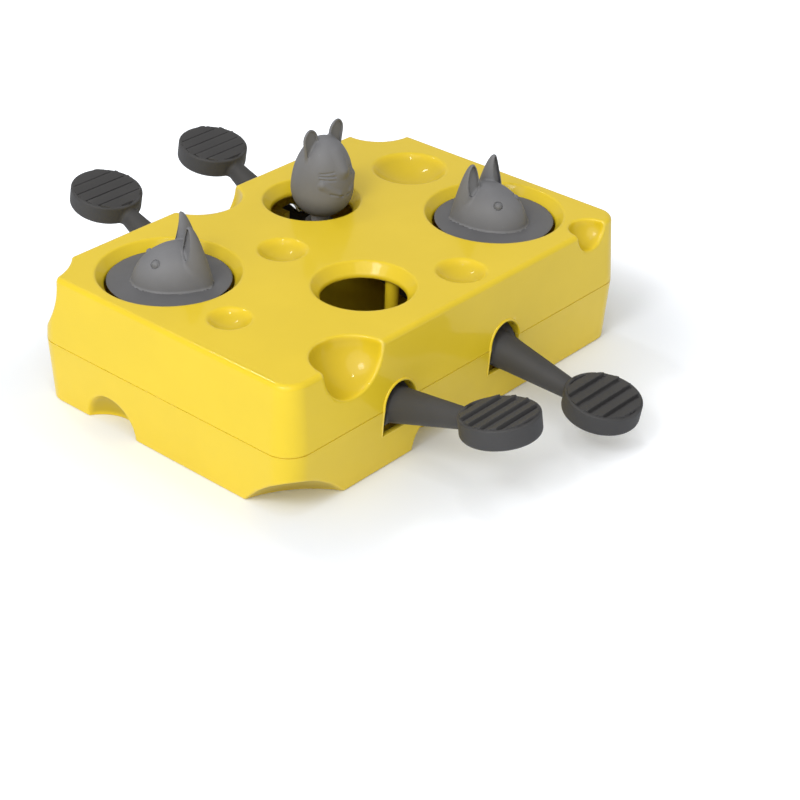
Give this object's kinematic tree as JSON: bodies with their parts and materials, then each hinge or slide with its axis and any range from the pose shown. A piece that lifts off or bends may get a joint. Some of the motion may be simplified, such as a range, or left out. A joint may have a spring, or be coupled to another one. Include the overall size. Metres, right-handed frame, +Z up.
{
  "type": "cat puzzle feeder",
  "caption": "Cheese-shaped puzzle feeder: a hollow case whose round side paddles tip levers that raise mouse figures and a treat cup through holes in its top.",
  "frame": {"origin": "centre of the flat base, on its underside", "axes": "+X along the case's length, +Y to the back, +Z up; the standing figure faces the front, -Y"},
  "size_m": [0.23, 0.2997, 0.1029],
  "materials": {
    "case_yellow": "smooth satin gloss moulded plastic",
    "lever_charcoal": "fine matte moulded plastic",
    "lid_grey": "matte moulded plastic",
    "figure_grey": "matte soft-touch plastic",
    "stalk_grey": "satin moulded plastic",
    "pin_steel": "ground rod",
    "screw_steel": "plated steel",
    "grip_rubber": "soft translucent rubber"
  },
  "bodies": {
    "case": {"top_shell": "case_yellow", "bottom_shell": "case_yellow", "case_screws": "screw_steel", "grip_pads": "grip_rubber", "front_left_pivot_pin": "pin_steel", "front_right_pivot_pin": "pin_steel", "back_left_pivot_pin": "pin_steel", "back_right_pivot_pin": "pin_steel"},
    "front_left_seesaw": {"front_left_lever": "lever_charcoal", "left_lid": "lid_grey", "left_mouse_head": "figure_grey", "front_left_lever_screw": "screw_steel"},
    "front_right_seesaw": {"front_right_lever": "lever_charcoal", "standing_mouse": "figure_grey", "mouse_stalk": "stalk_grey", "front_right_lever_screw": "screw_steel"},
    "back_left_seesaw": {"back_left_lever": "lever_charcoal", "treat_cup": "lever_charcoal", "back_left_lever_screw": "screw_steel"},
    "back_right_seesaw": {"back_right_lever": "lever_charcoal", "right_lid": "lid_grey", "right_mouse_head": "figure_grey", "back_right_lever_screw": "screw_steel"}
  },
  "joints": [
    {"name": "front_left_lever_pivot", "type": "hinge", "parent": "case", "child": "front_left_seesaw", "pos_m": [-0.046, -0.07, 0.0275], "axis": [1, 0, 0], "range_deg": [0, 17]},
    {"name": "front_right_lever_pivot", "type": "hinge", "parent": "case", "child": "front_right_seesaw", "pos_m": [0.026, -0.07, 0.0275], "axis": [1, 0, 0], "range_deg": [-18, 0]},
    {"name": "back_left_lever_pivot", "type": "hinge", "parent": "case", "child": "back_left_seesaw", "pos_m": [-0.026, 0.07, 0.0275], "axis": [-1, 0, 0], "range_deg": [0, 18]},
    {"name": "back_right_lever_pivot", "type": "hinge", "parent": "case", "child": "back_right_seesaw", "pos_m": [0.046, 0.07, 0.0275], "axis": [-1, 0, 0], "range_deg": [0, 17]}
  ]
}
